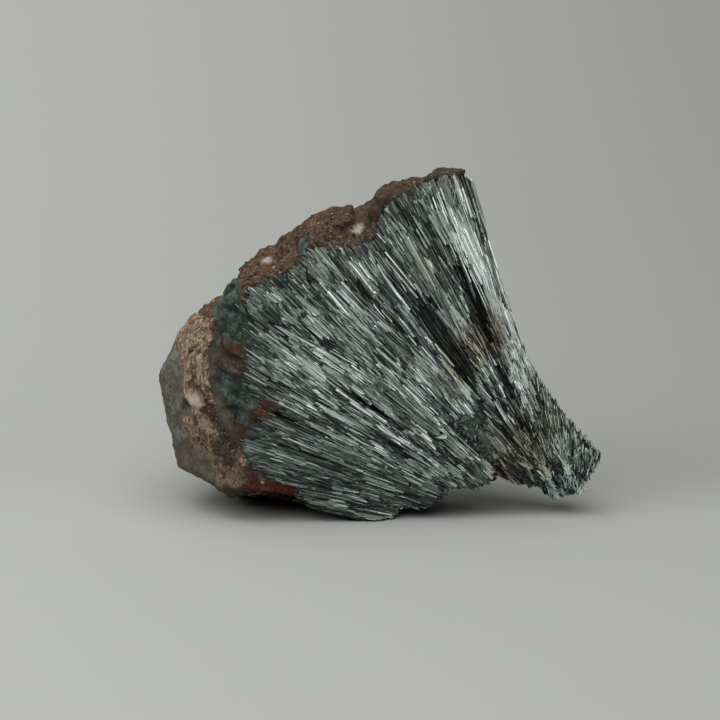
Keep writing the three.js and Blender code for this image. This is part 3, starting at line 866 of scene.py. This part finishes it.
# Kinds of needles. Lengths, widths and spacings are ranges in millimetres, and relief and raised are
# heights in millimetres; slope, stray and stub say how unruly a kind is.
KINDS = {
    "raft": {"number": (3, 9), "spacing": (0.20, 0.40), "length": (4, 15), "relief": 0.6, "raised": 0.1,
             "slope": 0.28, "stray": 0.055, "stub": 0.6, "brightest": 1.0, "where": "spread"},
    "lath": {"length": (4, 12), "width": (0.5, 0.9), "relief": 0.5, "raised": 0.0, "slope": 0.5,
             "stray": 0.015, "stub": 0.4, "brightest": 0.6, "where": "spread"},
    "needle": {"length": (1.8, 7), "width": (0.18, 0.42), "relief": 0.6, "raised": 0.1, "slope": 0.9,
               "stray": 0.06, "stub": 1.0, "brightest": 1.0, "where": "spread"},
    "chip": {"length": (0.8, 2.6), "width": (0.3, 0.8), "relief": 0.4, "raised": 0.1, "slope": 1.0,
             "stray": 0.25, "stub": 0.8, "brightest": 1.0, "where": "spread"},
    "grit": {"length": (0.9, 2.2), "width": (0.6, 1.3), "relief": 0.3, "raised": 0.0, "slope": 1.5,
             "stray": 0.8, "stub": 0.3, "brightest": 1.0, "where": "grit"},
    "stubble": {"length": (0.9, 3.2), "width": (0.2, 0.5), "relief": 0.3, "raised": 0.0, "slope": 0.9,
                "stray": 0.09, "stub": 0.3, "brightest": 0.7, "where": "border"},
}
# How many of each kind lie on each side of the stone.
COUNTS = {
    "front_low": {"raft": 2000, "lath": 15, "needle": 2800, "chip": 1100, "grit": 400, "stubble": 1500},
    "front_high": {"raft": 2400, "lath": 15, "needle": 3200, "chip": 1300, "grit": 650, "stubble": 400},
    "back": {"raft": 1500, "lath": 40, "needle": 2000, "chip": 700},
    "flank": {"raft": 600, "lath": 20, "needle": 1000, "chip": 300},
    "underside": {"raft": 500, "lath": 20, "needle": 900, "chip": 300},
    "tip": {"raft": 20, "needle": 160, "chip": 2200},
}
# The lift at which the needles of the front are shared out over two pieces.
FRONT_SPLIT = 45
# A face is part of the front or the back where its normal points that way by more than this.
SIDEWAYS = 0.4
# The shortest needle that is kept, and how far a needle's ends may stand off the stone.
SHORTEST = 0.45
HIGHEST = 0.9
# The lowest that a needle may reach above the table.
LOWEST = 0.02
# Lifts over which the needles of the front stop being calm, and over which they get more contrast.
CALM_LIFT = (23, 28)
BUSY_LIFT = (54, 62)
# Radii over which the needles stop being loose, get their usual length, and stop being dim.
LOOSE_RADIUS = (16, 28)
LONG_RADIUS = (22, 34)
DIM_RADIUS = (30, 42)
# Radii over which the tables for the front give way from close to the apex to far from it.
LENGTH_RADIUS = (40, 58)
LEAN_RADIUS = (34, 62)
TONE_RADIUS = (25, 40)
# Turn under which needles of the other sides end at the rim of the front.
RIM_TURN = 6


def face_weights(side):
    """How thickly needles, and grit, lie over the triangles of one side of the stone."""
    normal = unit(Stone.over_faces(Stone.normals))
    region = {key: Stone.over_faces(values) for key, values in Stone.region.items()}
    lift = np.radians(region["lift"])
    upward = normal[:, 0] * np.sin(lift) + normal[:, 2] * np.cos(lift)
    along_needles = np.abs(region["facing"]) < 0.75
    front, back = normal[:, 1] < -SIDEWAYS, normal[:, 1] > SIDEWAYS
    upper = region["lift"] > FRONT_SPLIT
    sides = {
        "front_low": along_needles & front & ~upper,
        "front_high": along_needles & front & upper,
        "back": along_needles & back,
        "flank": along_needles & ~front & ~back & (upward > 0),
        "underside": along_needles & ~front & ~back & (upward <= 0),
        "tip": (region["facing"] < -0.35) & (region["radius"] < 45),
    }
    open_stone = (1 - region["rind"]) * (1 - 0.8 * region["massive"])
    clod = patch_of(region["lift"], region["radius"], *CLOD, edge=CLOD_EDGE)
    grit = np.maximum(1 - smoothstep(region["radius"], 20, 28), 3 * clod)
    border = bell((region["gap"] - along(MASSIVE_DEPTH, region["lift"])) / 3.5)
    return {
        "spread": sides[side] * open_stone / region["radius"] ** 0.6,
        "grit": sides[side] * (1 - region["rind"]) * grit,
        "border": sides[side] * (1 - region["rind"]) * border,
    }


class Bed:
    """Needles laid on the stone: arrays that hold one row for each needle."""

    def __init__(self, place, normal, rng):
        self.rng = rng
        self.count = len(place)
        self.radius = np.linalg.norm(place - APEX, axis=1)
        self.outward = unit(place - APEX)
        self.facing = unit(normal - self.outward * np.sum(normal * self.outward, axis=1)[:, None])
        self.side = np.cross(self.facing, self.outward)

    def draw(self, low, high, bias=1.0):
        """A random number for each needle; a bias over 1 favours the low end."""
        return mix(low, high, self.rng.random(self.count) ** bias)

    def spread(self, size):
        """A random number for each needle, on either side of 0 and mostly below a size."""
        return size * self.rng.normal(size=self.count)

    def frames(self, start, end, width, thick, roll, height, skew, pitch):
        """Axes and origins of needles that run from one radius to another."""
        wide = self.side * np.cos(roll)[:, None] + self.facing * np.sin(roll)[:, None]
        axis = unit(self.outward + skew[:, None] * self.side + pitch[:, None] * self.facing)
        deep = unit(np.cross(axis, wide))
        wide = np.cross(deep, axis)
        length = end - start
        middle = APEX + self.outward * ((start + end) / 2)[:, None] + self.facing * height[:, None]
        axes = np.stack((wide * width[:, None], deep * thick[:, None], axis * length[:, None]), axis=1)
        return axes, middle - axis * (length / 2)[:, None]


def lean(outward, radius):
    """Slope sideways of the needles of the front, the same for neighbours."""
    lift, _, _ = fan_of(APEX + outward)
    wave = 0.07 * noise(outward * 22 + radius[:, None] / 16 + 17)
    wave = wave + 0.04 * noise(outward * 45 + radius[:, None] / 9 + 3)
    return wave + along(FRONT_LEAN, lift) * (1 - 0.75 * smoothstep(radius, *LEAN_RADIUS))


def reach(outward, radius):
    """Length of the needles of the front, as a share of the usual."""
    lift, _, _ = fan_of(APEX + outward)
    share = mix(along(CLOSE_LENGTH, lift), along(FAR_LENGTH, lift), smoothstep(radius, *LENGTH_RADIUS))
    return mix(1.0, share, smoothstep(radius, *LONG_RADIUS))


def lay_rafts(place, normal, kind, rng):
    """Rafts of needles side by side, all of one raft on one level and with one slope."""
    raft = Bed(place, normal, rng)
    number = rng.integers(*kind["number"], size=raft.count)
    # For each needle: which raft it is in, and its place in that raft.
    of = np.repeat(np.arange(raft.count), number)
    order = np.arange(len(of)) - np.repeat(np.cumsum(number) - number, number)
    scale = np.clip(raft.radius / 60, 0.3, 1.2)
    spacing = raft.draw(*kind["spacing"]) * np.sqrt(scale)
    length = raft.draw(*kind["length"], bias=1.4) * scale
    if kind["front"]:
        length = length * reach(raft.outward, raft.radius)
    start = raft.radius - length * rng.random(raft.count)
    level = kind["relief"] * ledges(raft.outward, raft.radius) + raft.spread(0.26) + kind["raised"]
    slope = 0.5 * noise(raft.outward * 30 + 7) + raft.spread(kind["slope"])
    skew, pitch = raft.spread(kind["stray"]), raft.spread(0.6 * kind["stray"])
    if kind["front"]:
        skew = skew + lean(raft.outward, raft.radius)
    tone = 0.5 + 0.22 * noise(raft.outward * 30 + raft.radius[:, None] / 14) + raft.spread(0.15)
    slant = raft.spread(0.35)

    across = (order - (number[of] - 1) / 2) * spacing[of]
    bed = Bed(place[of] + raft.side[of] * across[:, None], normal[of], rng)
    bed.radius = raft.radius[of]
    ends = np.abs(bed.spread(0.09)) * length[of] + slant[of] * order
    tails = np.abs(bed.spread(0.09)) * length[of] - slant[of] * order
    width = spacing[of] * bed.draw(0.7, 1.25)
    return bed, {
        "start": start[of] + ends,
        "end": (start + length)[of] - tails,
        "width": width,
        "thick": width * bed.draw(0.5, 1.0),
        "roll": slope[of] + bed.spread(0.4),
        "height": level[of] + across * np.tan(np.clip(slope[of], -0.6, 0.6)) * 0.8 + bed.spread(0.08),
        "skew": skew[of] + bed.spread(0.008),
        "pitch": pitch[of] + bed.spread(0.006),
        "tone": tone[of] + bed.spread(0.2),
    }


def lay_singles(place, normal, kind, rng):
    """Loose needles, each on its own."""
    bed = Bed(place, normal, rng)
    scale = np.clip(bed.radius / 60, 0.3, 1.2)
    length = bed.draw(*kind["length"], bias=1.6) * scale
    width = bed.draw(*kind["width"], bias=1.4) * np.sqrt(scale)
    skew = bed.spread(kind["stray"])
    if kind["front"] and kind["where"] != "grit":
        length = length * reach(bed.outward, bed.radius)
        skew = skew + lean(bed.outward, bed.radius)
    start = bed.radius - length * rng.random(bed.count)
    level = kind["relief"] * ledges(bed.outward, bed.radius) + bed.spread(0.14) + kind["raised"]
    return bed, {
        "start": start,
        "end": start + length,
        "width": width,
        "thick": width * bed.draw(0.35, 0.9),
        "roll": bed.spread(kind["slope"]),
        "height": level,
        "skew": skew,
        "pitch": bed.spread(0.7 * kind["stray"]),
        "tone": 0.5 + 0.28 * noise(bed.outward * 30 + bed.radius[:, None] / 14) + bed.spread(0.17),
    }


def lay_kind(kind, weights, rng):
    """One kind of needle, with its bed and its rows."""
    place, normal = surface_spots(kind["count"], weights[kind["where"]], rng)
    lay = lay_rafts if "number" in kind else lay_singles
    return kind, *lay(place, normal, kind, rng)


def fit_front(bed, row, lift, far):
    """Ends needles of the front at the massive stone, and lays them into its edge and the hollows.

    Gives how far out they reach, and how calm, hollow and faded the stone is under each."""
    rim, depth = along(FRONT_RIM, lift), along(MASSIVE_DEPTH, lift)
    far = np.minimum(far, rim - depth * bed.draw(1.15, 0.6, bias=2.2) + 1.1)
    calm = 1 - smoothstep(lift, *CALM_LIFT)
    row["start"] -= 0.25 * calm * (row["end"] - row["start"])
    row["height"] *= 1 - 0.3 * calm
    row["skew"] *= 1 - 0.5 * calm
    hollow = trough(lift, bed.radius)
    row["height"] -= TROUGH_DEPTH * hollow
    fade = smoothstep(depth, 1, 5) * (1 - smoothstep(rim - depth - row["end"], -3, 6))
    fade = np.maximum(fade, smoothstep(row["end"], rim - 3, rim))
    row["height"] -= 0.25 * fade
    row["pitch"] -= 0.06 * fade
    return far, calm, hollow, fade


def fit_side(row, lift, turn, far):
    """Straightens needles of the other sides, and gives how far out they reach."""
    row["skew"] *= 0.6
    row["pitch"] *= 0.3
    return np.where(turn < RIM_TURN, np.minimum(far, along(FRONT_RIM, lift)), far)


def loosen_tip(bed, row, middle):
    """Makes the needles near the apex coarser, and lets them stray."""
    loose = 1 - smoothstep(bed.radius, *LOOSE_RADIUS)
    row["skew"] += loose * bed.spread(0.28)
    row["pitch"] += loose * bed.spread(0.12)
    row["tone"] += loose * (0.45 * noise(middle / 2.2) + 0.05)
    row["width"] *= 1 + 0.8 * loose
    row["thick"] *= 1 + 0.8 * loose


def cut_to_outline(bed, row, stub, lift, turn, far):
    """Cuts needles where the stone begins and ends; True for those that are left long enough."""
    outline = Stone.outline
    near = outline.at(outline.near, lift, turn)
    near -= stub * bed.rng.random(bed.count) * smoothstep(near, 5, 40)
    row["start"] = np.maximum(row["start"], near)
    row["end"] = np.minimum(row["end"], far - 0.6 * bed.rng.random(bed.count))
    return (row["end"] - row["start"] > SHORTEST) & (outline.at(outline.met, lift, turn) > 0.6)


def front_tone(tone, lift, radius, calm, fade, grit):
    """Tone of needles of the front: even and darker low down, pale high up as a painted highlight, dull at
    the rind, and in bundles, with painted shade at the top right corner.
    """
    tone = 0.45 + (tone - 0.45) * (1.15 - 0.40 * calm + 0.15 * smoothstep(lift, *BUSY_LIFT))
    dim = 1 - smoothstep(radius, *DIM_RADIUS)
    # Painted highlight: the table pales the needles at the highest lifts.
    tone += along(FRONT_TONE, lift) * smoothstep(radius, *TONE_RADIUS) - 0.20 * dim
    tone = mix(tone, 0.38 + 0.1 * calm, 0.6 * fade)
    tone = mix(tone, 0.42, 0.75 * grit * (radius > 23))
    for *place, amount in BUNDLES:
        tone += amount * patch_of(lift, radius, *place)
    return tone


def clear_of_bare(axes, origin):
    """True for needles that don't cross the bare places of the front."""
    clear = True
    for share in (0, 0.25, 0.5, 0.75, 1):
        lift, _, radius = fan_of(origin + share * axes[:, 2])
        clear = clear & ~bare(lift, radius)
    return clear


def fit_needles(kind, bed, row):
    """Fits needles of one kind to the stone; gives the arrays of those that stay."""
    rng, grit = bed.rng, kind["where"] == "grit"
    middle = APEX + bed.outward * ((row["start"] + row["end"]) / 2)[:, None]
    lift, turn, radius = fan_of(middle - 1.0 * bed.facing)
    outline = Stone.outline
    far = outline.at(outline.far, lift, turn) - 0.3
    if kind["front"]:
        far, calm, hollow, fade = fit_front(bed, row, lift, far)
    else:
        far, hollow = fit_side(row, lift, turn, far), 0
    loosen_tip(bed, row, middle)
    keep = cut_to_outline(bed, row, kind["stub"], lift, turn, far)
    crack = cracks(bed.outward, bed.radius)
    keep &= crack < 0.75 + 0.5 * rng.random(bed.count)
    row["height"] -= 0.5 * crack
    keep &= hollow * 0.35 < rng.random(bed.count)
    # Painted shade: needles that lie lower, in the hollows and along the crevices are made darker.
    tone = row.pop("tone") + 0.2 * row["height"] - 0.4 * hollow - 0.25 * crack
    tone = np.minimum(tone, kind["brightest"])
    if kind["front"]:
        tone = front_tone(tone, lift, radius, calm, fade, grit)
    axes, origin = bed.frames(**row)
    if kind["front"] and not grit:
        keep &= clear_of_bare(axes, origin)
    ends = origin + axes[:, 2]
    keep &= np.minimum(origin[:, 2], ends[:, 2]) - 0.7 * row["width"] > LOWEST
    keep[keep] = np.maximum(outline.above(origin[keep]), outline.above(ends[keep])) < HIGHEST
    return {"frames": axes[keep], "origins": origin[keep], "tone": np.clip(tone[keep], 0, 1),
            "rim": (far - row["end"])[keep], "slim": (row["width"] / (row["end"] - row["start"]))[keep]}


def broken_ends(needle, slim, rng):
    """Offsets of the corners that taper each copy of the needle and cut its ends askew."""
    top = np.array([v.co.z > 0.5 for v in needle.data.vertices])
    flat = np.array([v.co[:2] for v in needle.data.vertices])
    count = len(slim)
    offsets = rng.normal(size=(count, len(flat), 3)) * 0.06
    taper = np.where(top, rng.random((count, 1)), 0.8 * rng.random((count, 1)))
    offsets[:, :, :2] -= flat * (0.85 * taper ** 1.4)[:, :, None]
    cut = rng.normal(size=(count, 2, 2)) * 1.6
    cut = np.where(top[None, :, None], cut[:, :1], cut[:, 1:])
    offsets[:, :, 2] = np.clip((flat * cut).sum(axis=2), -0.7, 0.7) * slim[:, None]
    return offsets


def add_needles(name, side, kinds, seed):
    """Needle crystals lying on one side of the stone, all pointing to the apex."""
    weights = face_weights(side)
    rng = np.random.default_rng(seed)
    beds = [lay_kind(kind, weights, rng) for kind in kinds]
    parts = [fit_needles(*bed) for bed in beds]
    if side == "front_high":
        parts.append(fit_blades(rng))
    joined = {key: np.concatenate([part[key] for part in parts]) for key in parts[0]}
    needle = model_needle()
    offsets = broken_ends(needle, joined.pop("slim"), rng)
    return copies_of(needle, name, offsets=offsets, **joined)


def lay_blades(rng):
    """The bare blades of the front, each on the spot of the stone that it is named for."""
    outwards = Stone.normals[:, 1] < -0.5
    points, normals = Stone.points[outwards], Stone.normals[outwards]
    lift, _, radius = fan_of(points)
    spots = []
    for middle, start, end, *_ in BLADES:
        away = np.hypot(np.radians(lift - middle) * radius, radius - (start + end) / 2)
        spots.append(np.argmin(away))
    _, start, end, width, strips, tone = np.array(BLADES).T
    # For each strip: which blade it is part of, and its place in that blade.
    of = np.repeat(np.arange(len(BLADES)), strips.astype(int))
    order = np.arange(len(of)) - np.repeat(np.cumsum(strips) - strips, strips.astype(int))
    width = (width / strips)[of]
    across = (order - (strips[of] - 1) / 2) * width
    blades = Bed(points[spots], normals[spots], rng)
    bed = Bed(points[spots][of] + blades.side[of] * across[:, None], normals[spots][of], rng)
    loose = (strips[of] > FIRM_STRIPS) * 1.0
    return bed, {
        "start": start[of] + loose * bed.draw(0, 3),
        "end": end[of] - loose * bed.draw(0, 3),
        "width": width * 1.1,
        "thick": 0.5 + 0.3 * width,
        "roll": 0.05 + loose * bed.spread(0.2),
        "height": 0.3 + loose * bed.spread(0.12),
        "skew": loose * bed.spread(0.006),
        "pitch": loose * bed.spread(0.006),
        "tone": tone[of] + loose * bed.spread(0.2),
    }


def fit_blades(rng):
    """The arrays of the bare blades, as those of the needles that stay."""
    bed, row = lay_blades(rng)
    tone = row.pop("tone")
    axes, origin = bed.frames(**row)
    return {"frames": axes, "origins": origin, "tone": tone, "rim": np.full(bed.count, 5.0),
            "slim": row["width"] / (row["end"] - row["start"])}


# ---- the crumbs ----

CRUMB_SEED = 77


def add_crumbs(count, seed):
    """Crumbs that roughen the rind, apart from its red and cream patches and its bare facets."""
    rng = np.random.default_rng(seed)
    middle = Stone.over_faces(Stone.points)
    rind, facet = (Stone.over_faces(Stone.region[key]) for key in ("rind", "facet"))
    weight = smoothstep(rind, 0.6, 0.95) * (1 - smoothstep(facet, 0.2, 0.7))
    weight = weight * smoothstep(middle[:, 2], 1.5, 3)
    red = bell(np.linalg.norm(middle - RED_STAIN[0], axis=1) / 8)
    weight = weight * (1 - np.minimum(1, 1.6 * red))
    for centre, size in CREAM_SPOTS:
        weight = weight * (1 - bell(np.linalg.norm(middle - centre, axis=1) / size / 1.6))
    place, normal = surface_spots(count, weight, rng)
    size = mix(0.3, 1.1, rng.random(count) ** 2.2)
    side = unit(np.cross(normal, rng.normal(size=(count, 3))))
    stretch = mix(0.6, 1.0, rng.random((count, 3)))
    axes = np.stack((side, np.cross(normal, side), normal * 0.7), axis=1)
    frames = axes * (size[:, None] * stretch)[:, :, None]
    origins = place + normal * (0.25 * noise(place / 1.5 + 9) - 0.05)[:, None]
    crumb = model_crumb()
    offsets = rng.normal(size=(count, len(crumb.data.vertices), 3)) * 0.07
    dusty = smoothstep(-place[:, 0], 20, 34) * (1 - smoothstep(place[:, 2], 34, 50))
    tone = 0.45 + 0.28 * dusty + 0.3 * noise(place / 2.5) + 0.18 * rng.normal(size=count)
    return copies_of(crumb, "rind_crumbs", frames, origins, offsets, tone=np.clip(tone, 0, 1))


# ---- the stage ----

def add_backdrop(settings):
    """A sheet that lies flat under the specimen and curves up behind it; seen from behind it is clear."""
    half, flat, start, radius, tilt = 2.0, 0.3, 0.03, 0.35, 0.1
    bend = [(start + radius * math.sin(a), radius - radius * math.cos(a))
            for a in np.radians(np.arange(0, 86, 2.5))]
    profile = [(-half, 0.0), (-flat, 0.0), *bend, (bend[-1][0] + tilt, half)]
    points = [(x, y, z) for y, z in profile for x in (-half, half)]
    faces = [(2 * n, 2 * n + 1, 2 * n + 3, 2 * n + 2) for n in range(len(profile) - 1)]
    mesh = bpy.data.meshes.new("backdrop")
    mesh.from_pydata(points, [], faces)
    mesh.polygons.foreach_set("use_smooth", [True] * len(faces))
    backdrop = bpy.data.objects.new("backdrop", mesh)
    bpy.context.scene.collection.objects.link(backdrop)
    mesh.materials.append(backdrop_finish("backdrop", settings.floor))


def aim(thing, target):
    """Turns a light or a camera to a point."""
    thing.rotation_euler = (Vector(target) - thing.location).to_track_quat("-Z", "Y").to_euler()


# Area lights: place and size in metres, power as a share of the key light, and whether it lights
# matt surfaces too.
LIGHTS = {
    "overhead": ((-0.18, -0.30, 0.76), 1.35, 1.0, True),
    "right": ((0.62, -0.26, 0.20), 0.32, 0.041, False),
    "glint": ((0.46, -0.50, 0.20), 0.45, 0.153, False),
}
LIGHT_TARGET = (0, 0, 0.03)
WORLD_COLOUR = (0.008, 0.0085, 0.0082, 1)


def add_lights(scene, settings):
    for name, (place, size, share, diffuse) in LIGHTS.items():
        data = bpy.data.lights.new(name, "AREA")
        data.energy = settings.key * share
        data.size = size
        light = bpy.data.objects.new(name, data)
        scene.collection.objects.link(light)
        light.location = place
        light.visible_diffuse = diffuse
        aim(light, LIGHT_TARGET)
    world = bpy.data.worlds.new("studio")
    scene.world = world
    world.use_nodes = True
    world.node_tree.nodes["Background"].inputs[0].default_value = WORLD_COLOUR
    scene.view_settings.view_transform = "Standard"


CAMERA_TARGET = Vector((-3.850, -7.513, 30.1)) * MM
CAMERA_DISTANCE = 400 * MM
CAMERA_ELEVATION = math.radians(10)
CAMERA_LENS = 100
CAMERA_SENSOR = 36


def add_camera(scene):
    data = bpy.data.cameras.new("camera")
    data.lens = CAMERA_LENS
    data.sensor_width = CAMERA_SENSOR
    data.clip_start = 10 * MM
    camera = bpy.data.objects.new("camera", data)
    scene.collection.objects.link(camera)
    back = Vector((0, -math.cos(CAMERA_ELEVATION), math.sin(CAMERA_ELEVATION)))
    camera.location = CAMERA_TARGET + back * CAMERA_DISTANCE
    aim(camera, CAMERA_TARGET)
    scene.camera = camera


# ---- settings a user would change ----

class StoneSettings(bpy.types.PropertyGroup):
    voxel: bpy.props.FloatProperty(
        name="Voxel", description="Fineness of the stone's surface", default=0.49 * MM,
        unit="LENGTH")
    sink: bpy.props.FloatProperty(
        name="Sink", description="How far the stone lies under its needles", default=0.35 * MM,
        unit="LENGTH")


class NeedleSettings(bpy.types.PropertyGroup):
    steel: bpy.props.FloatVectorProperty(
        name="Needles", description="Colour of the needles between their gaps and their bright faces",
        subtype="COLOR", size=3, default=STEEL)
    density: bpy.props.FloatProperty(
        name="Density", description="Number of needles, as a share of the usual", default=1.0,
        subtype="FACTOR")


class RindSettings(bpy.types.PropertyGroup):
    brown: bpy.props.FloatVectorProperty(
        name="Rind", description="Main brown of the rind and of the dust and stains from it",
        subtype="COLOR", size=3, default=RIND_BROWN)
    crumbs: bpy.props.IntProperty(
        name="Crumbs", description="Number of crumbs on the rind", default=4500)


class StageSettings(bpy.types.PropertyGroup):
    floor: bpy.props.FloatVectorProperty(
        name="Floor", description="Colour of the floor and backdrop", subtype="COLOR", size=3,
        default=(0.53, 0.54, 0.52))
    key: bpy.props.FloatProperty(
        name="Key light", description="Power of the large light overhead", default=11.4,
        unit="POWER")


# ---- operators ----

class SPECIMEN_OT_stone(bpy.types.Operator):
    """Make the stone itself: grooved faces, massive zone and rind"""
    bl_idname = "specimen.stone"
    bl_label = "Add stone"

    def execute(self, context):
        add_stone(context.scene.specimen_stone, tuple(context.scene.specimen_rind.brown))
        return {"FINISHED"}


class SPECIMEN_OT_needles(bpy.types.Operator):
    """Lay needle crystals on every broken side of the stone"""
    bl_idname = "specimen.needles"
    bl_label = "Add needles"

    def execute(self, context):
        settings = context.scene.specimen_needles
        brown = tuple(context.scene.specimen_rind.brown)
        finish = needle_finish("needles", tuple(settings.steel), brown)
        for seed, (side, counts) in enumerate(COUNTS.items(), start=1):
            front = side.startswith("front")
            kinds = [dict(KINDS[kind], count=int(count * settings.density), front=front)
                     for kind, count in counts.items()]
            piece = add_needles("needles_" + side, side, kinds, seed)
            piece.data.materials.append(finish)
            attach(piece, "root")
        return {"FINISHED"}


class SPECIMEN_OT_crumbs(bpy.types.Operator):
    """Scatter crumbs over the rind"""
    bl_idname = "specimen.crumbs"
    bl_label = "Add rind crumbs"

    def execute(self, context):
        settings = context.scene.specimen_rind
        piece = add_crumbs(settings.crumbs, CRUMB_SEED)
        piece.data.materials.append(crumb_finish("rind crumbs", tuple(settings.brown)))
        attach(piece, "root")
        return {"FINISHED"}


class SPECIMEN_OT_stage(bpy.types.Operator):
    """Add the floor with its backdrop, the lights and the camera"""
    bl_idname = "specimen.stage"
    bl_label = "Add stage"

    def execute(self, context):
        settings = context.scene.specimen_stage
        add_backdrop(settings)
        add_lights(context.scene, settings)
        add_camera(context.scene)
        return {"FINISHED"}


class SPECIMEN_PT_panel(bpy.types.Panel):
    """Everything that builds the specimen"""
    bl_label = "Specimen"
    bl_idname = "SPECIMEN_PT_panel"
    bl_space_type = "VIEW_3D"
    bl_region_type = "UI"
    bl_category = "Specimen"

    def draw(self, context):
        for operator in OPERATORS:
            self.layout.operator(operator.bl_idname)
        for group in SETTINGS:
            settings = getattr(context.scene, group)
            for key in settings.__annotations__:
                self.layout.prop(settings, key)


SETTINGS = {
    "specimen_stone": StoneSettings,
    "specimen_needles": NeedleSettings,
    "specimen_rind": RindSettings,
    "specimen_stage": StageSettings,
}
OPERATORS = (SPECIMEN_OT_stone, SPECIMEN_OT_needles, SPECIMEN_OT_crumbs, SPECIMEN_OT_stage)


def register():
    for group in (*SETTINGS.values(), *OPERATORS, SPECIMEN_PT_panel):
        bpy.utils.register_class(group)
    for name, group in SETTINGS.items():
        setattr(bpy.types.Scene, name, bpy.props.PointerProperty(type=group))


def unregister():
    for name in SETTINGS:
        delattr(bpy.types.Scene, name)
    for group in (SPECIMEN_PT_panel, *OPERATORS, *SETTINGS.values()):
        bpy.utils.unregister_class(group)


def main():
    register()
    bpy.ops.specimen.stone()
    bpy.ops.specimen.needles()
    bpy.ops.specimen.crumbs()
    bpy.ops.specimen.stage()


if __name__ == "__main__":
    main()
